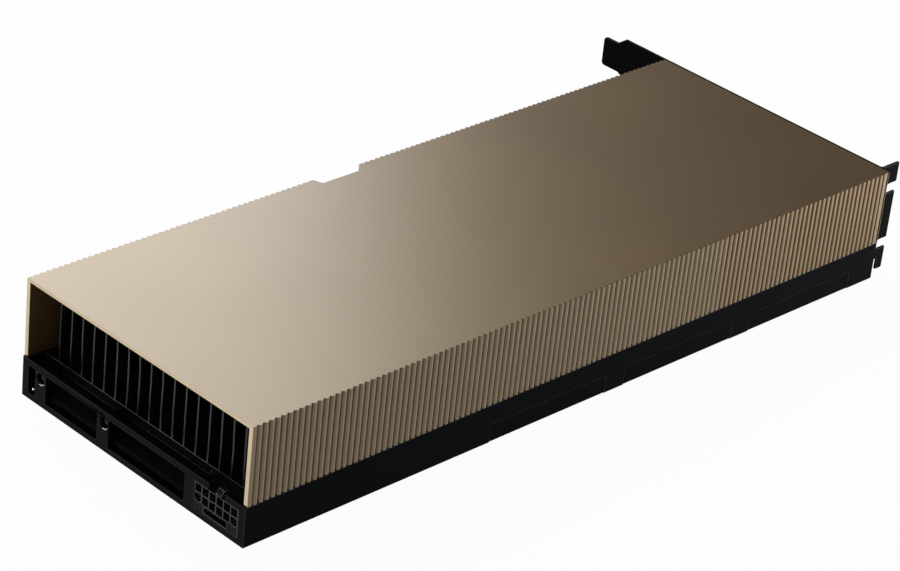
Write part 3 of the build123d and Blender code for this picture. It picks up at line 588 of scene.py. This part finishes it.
def thread(root, crest, start, end, pitch):
    """Profile of a thread from height start down to end: each turn goes from crest to root and back."""
    turns = max(1, int((start - end) / pitch))
    points = []
    for i in range(turns):
        top = start - i * pitch
        for radius, share in ((crest, 0.15), (root, 0.5), (crest, 0.85)):
            points.append((radius, top - share * pitch))
    return points


def copies(piece, spots, name):
    """Copies of piece, one at each (place, direction), joined to one piece."""
    made = []
    for place, direction in spots:
        one = bpy.data.objects.new(name, piece.data.copy())
        bpy.context.scene.collection.objects.link(one)
        one.location = place
        one.rotation_mode = "QUATERNION"
        one.rotation_quaternion = Vector((0, 0, 1)).rotation_difference(direction)
        work_on(one)
        bpy.ops.object.transform_apply(location=True, rotation=True, scale=True)
        made.append(one)
    bpy.data.objects.remove(piece)
    return join(made, name)


def screws(node, name, slot, main, direction, head, head_height, shank, flat, sizes):
    """Screws for a CAD node: one is turned, gets its six-lobed recess, and is copied to each place.

    Head and shank are radii. A flat head tapers to the shank, and any other has an upright side.
    """
    spots = []
    length = 0.0
    axis = max(range(3), key=lambda i: abs(direction[i]))
    for low, high in solids(node):
        place = (low + high) / 2
        place[axis] = high[axis] if direction[axis] > 0 else low[axis]
        length = high[axis] - low[axis]
        spots.append((place, direction))
    recess = 0.56 * head
    deep = 0.6 * head_height
    rim = 0.06 * MM
    neck_end = -head_height - 0.3 * MM
    tip_start = 0.5 * MM - length
    thread_root = shank - sizes.thread_depth
    side = [(shank, -head_height)] if flat else [(head, -head_height), (shank, -head_height)]
    profile = [(recess * 0.9, -deep), (recess, -rim), (recess + rim, 0), (head - rim, 0), (head, -rim)]
    profile += side + [(shank, neck_end)]
    profile += thread(thread_root, shank, neck_end, tip_start, sizes.thread_pitch)
    profile += [(thread_root, tip_start), (0.6 * shank, -length)]
    screw = turned(name + "_blank", profile, 24)
    lobe = math.radians(60)
    slack = math.radians(3)
    pinch = 0.74

    def valley(point):
        inside = point.xy.length < recess + 1.5 * rim and point.z > -deep - rim
        turn = math.atan2(point.y, point.x) % lobe
        return inside and abs(turn - lobe / 2) < slack

    pick(screw, "VERT", valley)
    bpy.ops.transform.resize(value=(pinch, pinch, 1), center_override=(0, 0, 0))
    piece = coat(copies(screw, spots, name), main)
    return seat(piece, slot, node)


class CARD_OT_finishes(bpy.types.Operator):
    """Mix every finish of the card"""

    bl_idname = "card.finishes"
    bl_label = "Finishes"

    def execute(self, context):
        FINISH.update(metal_finishes(context.scene.card_colours))
        FINISH.update(black_finishes(context.scene.card_colours))
        return {"FINISHED"}


class CARD_OT_cover(bpy.types.Operator):
    """Round the cover's ribs into reeds, break its edges, and paint the rim of its mouth pale as a painted
    highlight
    """

    bl_idname = "card.cover"
    bl_label = "Ribbed cover"

    def last_groove(self, piece, low, high):
        """Cuts one more groove beside the bracket on the near side, and gives the new rib's place."""
        points = [point.co for point in piece.data.vertices]
        # From outside in, the near side's levels are the crests, the plain ends and the grooves' floors.
        root = sorted({round(point.y / HAIR) for point in points})[2] * HAIR
        cuts = sorted({round(point.x / HAIR) * HAIR for point in points if abs(point.y - root) < HAIR})
        pitch = cuts[-2] - cuts[-4]
        corner = Vector((cuts[-2] + pitch, low.y - MM, low.z - MM))
        across = Vector((cuts[-1] + pitch, root, high.z + MM))
        deselect()
        bpy.ops.mesh.primitive_cube_add(size=1, location=(corner + across) / 2, scale=across - corner)
        cutter = bpy.context.object
        bpy.ops.object.transform_apply(location=True, rotation=True, scale=True)
        modify(piece, "BOOLEAN", object=cutter, operation="DIFFERENCE", solver="EXACT")
        bpy.data.objects.remove(cutter)
        return cuts[-1] - 2 * HAIR, corner.x + 2 * HAIR

    def execute(self, context):
        sizes = context.scene.card_sizes
        low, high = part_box("cover")
        middle = (low + high) / 2
        shallow = 0.2 * MM
        groove_depth = (0.42 * MM, 1.0 * MM)

        def crest(start, end):
            upright = abs(start.x - end.x) < HAIR and abs(start.y - end.y) < HAIR
            proud = min(start.y - low.y, high.y - start.y) < HAIR
            added = begins < start.x < ends and start.y < low.y + shallow
            return upright and (proud or added)

        def inside(centre, normal):
            inward = (middle - centre).dot(normal) > 0.4 * abs(normal.y) * (high.y - low.y)
            return normal.z < -ALONG and centre.z > middle.z or abs(normal.y) > 0.5 and inward

        def groove(centre, normal):
            sunk = min(centre.y - low.y, high.y - centre.y)
            return abs(normal.z) < UPRIGHT and groove_depth[0] < sunk < groove_depth[1]

        # The rim faces that get the painted highlight.
        def rim(centre, normal):
            return normal.x < -0.7 and centre.x < low.x + shallow

        piece = cad_copy("cover", "ribbed_cover")
        begins, ends = self.last_groove(piece, low, high)
        pick(piece, "EDGE", crest)
        bpy.ops.mesh.bevel(
            offset_type="PERCENT", offset_pct=sizes.rib_round, segments=4, profile=0.5, affect="EDGES"
        )
        bpy.ops.object.mode_set(mode="OBJECT")
        coat(piece, "gold_anodised")
        coat(piece, "rib_gold", lambda centre, normal: abs(normal.z) < UPRIGHT)
        # Painted shade on the duct's inside.
        coat(piece, "duct_painted_shade", inside)
        # Painted shade on the grooves' floors and inner flanks.
        coat(piece, "groove_painted_shade", groove)
        # Painted highlight on the rim of the mouth.
        coat(piece, "rim_painted_highlight", rim)
        break_edges(piece, sizes.cover_edge, turn=65.0)
        seat(piece, "gold_anodised", "cover")
        return {"FINISHED"}


class CARD_OT_base_frame(bpy.types.Operator):
    """Chamfer the base frame's two round holes, paint glints on their lower lips and the tail face paler as
    painted light, and break its edges, worn grey by handling
    """

    bl_idname = "card.base_frame"
    bl_label = "Base frame"

    def execute(self, context):
        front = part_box("base_frame")[0].x
        holes = [(low + high) / 2 for low, high in solids("threaded_inserts")]
        reach = 2.6 * MM
        chamfer = 0.4 * MM

        def beside(point):
            return min((point - hole).yz.length for hole in holes) < reach

        def mouth(start, end):
            return beside(start) and beside(end) and max(start.x, end.x) < front + HAIR

        # The holes' lower lips, which get the painted glint.
        def glint_lip(centre, normal):
            slanted = -ALONG < normal.x < -0.4
            return beside(centre) and slanted and normal.z > 0.3 and normal.y > -0.2

        piece = cad_copy("base_frame", "frame_shell")
        pick(piece, "EDGE", mouth)
        bpy.ops.mesh.bevel(offset=chamfer, segments=1, affect="EDGES")
        bpy.ops.object.mode_set(mode="OBJECT")
        coat(piece, "black_anodised")
        # Painted light: the tail face is painted paler than the long sides.
        coat(piece, "tail_face_painted_light", lambda centre, normal: normal.x < -ALONG and centre.x < front + HAIR)
        # Painted glint on the holes' lower lips.
        coat(piece, "hole_lip_painted_glint", glint_lip)
        break_edges(piece, context.scene.card_sizes.frame_edge, worn="rubbed_black")
        seat(piece, "black_anodised", "base_frame")
        return {"FINISHED"}


class CARD_OT_sheets(bpy.types.Operator):
    """Roll the stamped edges of the bracket, the back sheet and the retention plate"""

    bl_idname = "card.sheets"
    bl_label = "Bracket and sheets"

    def execute(self, context):
        edge = context.scene.card_sizes.sheet_edge
        fine_copy("bracket", "slot_bracket", "black_sheet", "powder_coat", edge, "worn_coat")
        fine_copy("back_sheet", "rear_sheet", "black_sheet", "powder_coat", edge)
        fine_copy("retention_plate", "clamp_plate", "spring_steel", "spring_steel", edge)
        return {"FINISHED"}


class CARD_OT_header(bpy.types.Operator):
    """Soften the power header's mouldings and point its contacts"""

    bl_idname = "card.header"
    bl_label = "Power header"

    def execute(self, context):
        edge = context.scene.card_sizes.moulded_edge
        # Whole faces with this many holes in them can't be bevelled, so the triangles stay.
        # The housing's broken edges get a pale painted highlight.
        fine_copy(
            "power_header", "header_housing", "header_black", "nylon", 1.3 * edge, "header_edge_painted_highlight", whole=False
        )
        for node, name, taper in (
            ("power_pins", "power_contacts", 0.25 * MM), ("sense_pins", "sense_contacts", 0.15 * MM)
        ):
            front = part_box(node)[0].x
            piece = cad_copy(node, name)
            pick(piece, "FACE", lambda centre, normal: normal.x < -ALONG and centre.x < front + HAIR)
            bpy.ops.mesh.inset(thickness=taper, use_individual=True)
            bpy.ops.transform.translate(value=(-2 * taper, 0, 0))
            bpy.ops.object.mode_set(mode="OBJECT")
            seat(coat(piece, "tin"), "pin_tin", node)
        return {"FINISHED"}


class CARD_OT_bridge_caps(bpy.types.Operator):
    """Round the three caps over the bridge connectors"""

    bl_idname = "card.bridge_caps"
    bl_label = "Bridge caps"

    def execute(self, context):
        edge = context.scene.card_sizes.moulded_edge
        fine_copy("bridge_caps", "moulded_caps", "cap_black", "soft_cap", 2 * edge)
        return {"FINISHED"}


class CARD_OT_inserts(bpy.types.Operator):
    """Turn the two threaded inserts, with a blackened countersunk mouth and an inner thread"""

    bl_idname = "card.inserts"
    bl_label = "Threaded inserts"

    def execute(self, context):
        sizes = context.scene.card_sizes
        spots = []
        for low, high in solids("threaded_inserts"):
            length = high.x - low.x
            outer = (high.z - low.z) / 2
            middle = (low + high) / 2
            spots.append((Vector((low.x, middle.y, middle.z)), Vector((-1, 0, 0))))
        bore = 1.25 * MM
        sink = 0.35 * MM
        mouth = spots[0][0].x + 1.2 * sink

        def within(centre, normal):
            off_axis = min((centre - place).yz.length for place, direction in spots)
            return centre.x > mouth and off_axis < 0.9 * outer

        profile = [(outer, -length), (outer, 0), (bore + sink, 0), (bore, -sink)]
        profile += thread(bore + sizes.thread_depth, bore, -sink, -length, sizes.thread_pitch)
        profile += [(bore, -length), (outer, -length)]
        piece = copies(turned("insert_blank", profile, 32), spots, "nickel_inserts")
        coat(piece, "black_zinc")
        coat(piece, "nickel", within)
        seat(piece, "nickel", "threaded_inserts")
        return {"FINISHED"}


class CARD_OT_fins(bpy.types.Operator):
    """Set up the fins as thin wandering sheets with sheared ends, on the sink plate"""

    bl_idname = "card.fins"
    bl_label = "Heat sink"

    def execute(self, context):
        sizes = context.scene.card_sizes
        fins = []
        for low, high in solids("fin_stack"):
            bpy.ops.mesh.primitive_grid_add(
                x_subdivisions=40, y_subdivisions=8, size=1, location=(low + high) / 2,
                rotation=(math.pi / 2, 0, 0),
            )
            fin = bpy.context.object
            fin.scale = (high.x - low.x, high.z - low.z, 1)
            bpy.ops.object.transform_apply(location=True, rotation=True, scale=True)
            fins.append(fin)
            thickness = high.y - low.y
        piece = join(fins, "fins")
        wander = bpy.data.textures.new("fin_wander", "CLOUDS")
        wander.noise_scale = 16 * MM  # from one swell of a fin to the next
        modify(
            piece, "DISPLACE", texture=wander, texture_coords="LOCAL", direction="Y",
            strength=2 * sizes.fin_wave, mid_level=0.5,
        )
        modify(piece, "SOLIDIFY", thickness=thickness, offset=0.0)
        coat(piece, "fin_oxide")
        coat(piece, "fin_shear", lambda centre, normal: abs(normal.x) > 0.7)
        seat(piece, "sink_black", "fin_stack")
        # The slab's broken edges get a pale painted highlight.
        slab_edge = 0.8 * sizes.frame_edge
        fine_copy("sink_plate", "sink_slab", "sink_black", "black_anodised", slab_edge, "slab_edge_painted_highlight")
        for node, name in (("board_standoffs", "board_posts"), ("clamp_standoffs", "clamp_posts")):
            fine_copy(node, name, "nickel", "nickel", sizes.moulded_edge)
        fine_copy("contact_block", "heat_block", "nickel", "nickel", sizes.moulded_edge)
        return {"FINISHED"}


class CARD_OT_fasteners(bpy.types.Operator):
    """Turn the screws with their threads and six-lobed recesses"""

    bl_idname = "card.fasteners"
    bl_label = "Screws"

    def execute(self, context):
        down, across, along = Vector((0, 0, -1)), Vector((0, 1, 0)), Vector((1, 0, 0))
        # The three numbers are the head's radius and height and the shank's radius, in millimetres.
        for node, name, slot, main, direction, head, tall, shank, flat in (
            ("back_screws", "rear_sheet_screws", "screw_black", "black_zinc", down, 2.0, 1.0, 1.0, True),
            ("side_screws", "edge_screws", "screw_black", "black_zinc", across, 1.5, 0.5, 1.0, True),
            (
                "bracket_screws", "bracket_flat_screws", "screw_black", "black_zinc", along,
                1.7, 0.7, 1.0, True,
            ),
            ("retention_screws", "clamp_screws", "nickel", "nickel", down, 2.5, 0.8, 1.25, False),
        ):
            screws(
                node, name, slot, main, direction,
                head * MM, tall * MM, shank * MM, flat, context.scene.card_sizes,
            )
        return {"FINISHED"}


class CARD_OT_board(bpy.types.Operator):
    """Coat the circuit board, its sawn edges and its contacts"""

    bl_idname = "card.board"
    bl_label = "Circuit board"

    def execute(self, context):
        piece = coat(cad_copy("circuit_board", "printed_board"), "solder_mask")
        coat(piece, "board_edge", lambda centre, normal: abs(normal.z) < ALONG)
        seat(piece, "solder_mask", "circuit_board")
        dress("edge_contacts", "gold_plate")
        return {"FINISHED"}


class CARD_OT_components(bpy.types.Operator):
    """Soften the moulded and pressed parts on the board and coat the processor package"""

    bl_idname = "card.components"
    bl_label = "Board components"

    def execute(self, context):
        edge = context.scene.card_sizes.moulded_edge
        for node, name, slot, main, width in (
            ("power_stages", "stage_packages", "chip_black", "epoxy", 0.8 * edge),
            ("controller_chips", "controller_packages", "chip_black", "epoxy", 0.8 * edge),
            ("input_capacitors", "moulded_capacitors", "chip_black", "epoxy", 2.5 * edge),
            ("inductors", "pressed_inductors", "ferrite", "pressed_powder", 3.5 * edge),
            ("input_chokes", "pressed_chokes", "ferrite", "pressed_powder", 5 * edge),
            ("power_pads", "supply_pads", "pad_grey", "heat_pad", edge),
            ("retention_pad", "clamp_pad", "pad_grey", "heat_pad", edge),
            ("package_ring", "stiffening_ring", "nickel", "nickel", edge),
        ):
            fine_copy(node, name, slot, main, width)
        dress("package_substrate", "laminate")
        dress("processor_die", "silicon")
        dress("memory_stacks", "silicon")
        return {"FINISHED"}


def softbox(name, bearing, height, distance, width, tall, glow, tone):
    """A soft lamp aimed at the card, with a row of LAMPS."""
    around, up = math.radians(bearing), math.radians(height)
    away = Vector((math.cos(up) * math.cos(around), math.cos(up) * math.sin(around), math.sin(up)))
    bpy.ops.object.light_add(type="AREA", location=away * distance)
    lamp = bpy.context.object
    lamp.name = name
    lamp.rotation_mode = "QUATERNION"
    lamp.rotation_quaternion = (-away).to_track_quat("-Z", "Y")
    lamp.data.shape = "RECTANGLE"
    lamp.data.size = width
    lamp.data.size_y = tall
    lamp.data.color = tone
    lamp.data.energy = glow * math.pi * width * tall
    lamp.visible_camera = False


class CARD_OT_stage(bpy.types.Operator):
    """Lay the white floor, hang the soft lamps and set the camera at the photograph's angle"""

    bl_idname = "card.stage"
    bl_label = "Stage"

    def execute(self, context):
        scene = context.scene
        deselect()
        bpy.ops.mesh.primitive_grid_add(
            x_subdivisions=4, y_subdivisions=4, size=FLOOR_SIDE, location=(0, 0, -FLOOR_DROP)
        )
        floor = bpy.context.object
        floor.name = "floor"
        # White paper floor: it shows near white to the camera and in reflections, and keeps a shadow.
        # It lies a hair under the card, and from below it lets the card's underside be seen.
        paper = bpy.data.materials.new("floor_paper")
        paper.use_nodes = True
        tree = paper.node_tree
        tree.nodes.remove(tree.nodes["Principled BSDF"])
        rays = add_node(tree, "ShaderNodeLightPath")
        seen = add_node(
            tree, "ShaderNodeMath",
            {0: rays.outputs["Is Camera Ray"], 1: rays.outputs["Is Glossy Ray"]}, operation="MAXIMUM",
        )
        seen = add_node(
            tree, "ShaderNodeMath",
            {0: seen.outputs[0], 1: rays.outputs["Is Transmission Ray"]}, operation="MAXIMUM",
        )
        share = add_node(
            tree, "ShaderNodeMath", {0: seen.outputs[0], 1: PAPER_SHOWN}, operation="MULTIPLY"
        )
        paint = add_node(tree, "ShaderNodeBsdfDiffuse", {"Color": PAPER})
        glow = add_node(tree, "ShaderNodeEmission", {"Color": (1, 1, 1, 1), "Strength": 1.0})
        mix = add_node(
            tree, "ShaderNodeMixShader", {0: share.outputs[0], 1: paint.outputs[0], 2: glow.outputs[0]}
        )
        below = add_node(tree, "ShaderNodeNewGeometry").outputs["Backfacing"]
        clear = add_node(tree, "ShaderNodeBsdfTransparent")
        mix = add_node(tree, "ShaderNodeMixShader", {0: below, 1: mix.outputs[0], 2: clear.outputs[0]})
        tree.links.new(mix.outputs[0], tree.nodes["Material Output"].inputs["Surface"])
        floor.data.materials.append(paper)

        world = bpy.data.worlds.new("studio")
        world.use_nodes = True
        world.node_tree.nodes["Background"].inputs["Color"].default_value = ROOM_TONE
        world.node_tree.nodes["Background"].inputs["Strength"].default_value = ROOM_LEVEL
        scene.world = world

        for lamp in LAMPS:
            softbox(*lamp)

        bpy.ops.object.camera_add(location=CAMERA_PLACE)
        camera = bpy.context.object
        camera.name = "camera"
        camera.rotation_mode = "QUATERNION"
        turn = (CAMERA_AIM - CAMERA_PLACE).to_track_quat("-Z", "Y")
        camera.rotation_quaternion = turn @ Quaternion((0, 0, 1), CAMERA_ROLL)
        camera.data.sensor_width = 36
        camera.data.lens = CAMERA_LENS
        camera.data.clip_start = 0.01
        camera.data.clip_end = 60
        scene.camera = camera
        scene.view_settings.view_transform = "Standard"
        return {"FINISHED"}


class CARD_PT_sidebar(bpy.types.Panel):
    """Lists the card's sizes, colours and making steps."""

    bl_idname = "CARD_PT_sidebar"
    bl_label = "Accelerator card"
    bl_space_type = "VIEW_3D"
    bl_region_type = "UI"
    bl_category = "Card"

    def draw(self, context):
        for group in (context.scene.card_sizes, context.scene.card_colours):
            box = self.layout.box()
            for name in group.__annotations__:
                box.prop(group, name)
        for step in STEPS:
            self.layout.operator(step.bl_idname)


STEPS = (
    CARD_OT_finishes,
    CARD_OT_stage,
    CARD_OT_cover,
    CARD_OT_base_frame,
    CARD_OT_sheets,
    CARD_OT_header,
    CARD_OT_bridge_caps,
    CARD_OT_inserts,
    CARD_OT_fins,
    CARD_OT_fasteners,
    CARD_OT_board,
    CARD_OT_components,
)
CLASSES = (CardSizes, CardColours, *STEPS, CARD_PT_sidebar)


def register():
    for kind in CLASSES:
        bpy.utils.register_class(kind)
    bpy.types.Scene.card_sizes = bpy.props.PointerProperty(type=CardSizes)
    bpy.types.Scene.card_colours = bpy.props.PointerProperty(type=CardColours)


def unregister():
    del bpy.types.Scene.card_colours
    del bpy.types.Scene.card_sizes
    for kind in reversed(CLASSES):
        bpy.utils.unregister_class(kind)


def main():
    register()
    bpy.ops.card.finishes()
    bpy.ops.card.stage()
    bpy.ops.card.cover()
    bpy.ops.card.base_frame()
    bpy.ops.card.sheets()
    bpy.ops.card.header()
    bpy.ops.card.bridge_caps()
    bpy.ops.card.inserts()
    bpy.ops.card.fins()
    bpy.ops.card.fasteners()
    bpy.ops.card.board()
    bpy.ops.card.components()
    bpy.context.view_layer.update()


if __name__ == "__main__":
    main()
